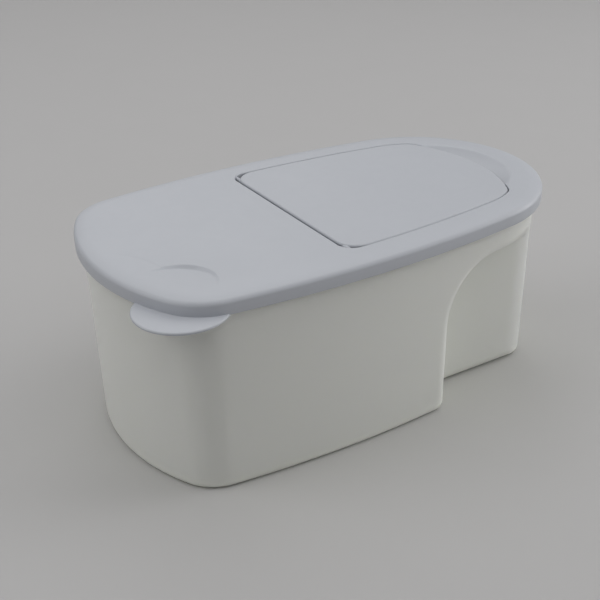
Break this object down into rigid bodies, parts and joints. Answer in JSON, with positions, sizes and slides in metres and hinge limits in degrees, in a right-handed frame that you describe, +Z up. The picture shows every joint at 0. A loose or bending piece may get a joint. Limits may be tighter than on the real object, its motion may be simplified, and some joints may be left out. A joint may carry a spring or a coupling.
{
  "type": "food storage container",
  "caption": "Low translucent food keeper with bowed sides and finger grips, an opaque lift-off lid with a pull tab, and a hinged pour flap in the lid.",
  "frame": {"origin": "middle of the resting face, under the middle of the lid's length and width", "axes": "+X towards the pour end with the flap and the finger grips, +Z up, the pull tab is at -X and -Y"},
  "size_m": [0.36, 0.2038, 0.148],
  "materials": {
    "tub_plastic": "translucent satin",
    "lid_plastic": "fine satin",
    "seal_rubber": "soft matt"
  },
  "bodies": {
    "tub": {"tub": "tub_plastic"},
    "lid": {"lid": "lid_plastic", "lid_seal": "seal_rubber"},
    "flap": {"flap": "lid_plastic", "flap_seal": "seal_rubber"}
  },
  "joints": [
    {"name": "lid_lift", "type": "slide", "parent": "tub", "child": "lid", "axis": [0, 0, 1], "range_m": [0, 0.06]},
    {"name": "flap_hinge", "type": "hinge", "parent": "lid", "child": "flap", "pos_m": [-0.0283, 0, 0.1458], "axis": [0, -1, 0], "range_deg": [0, 100]}
  ]
}
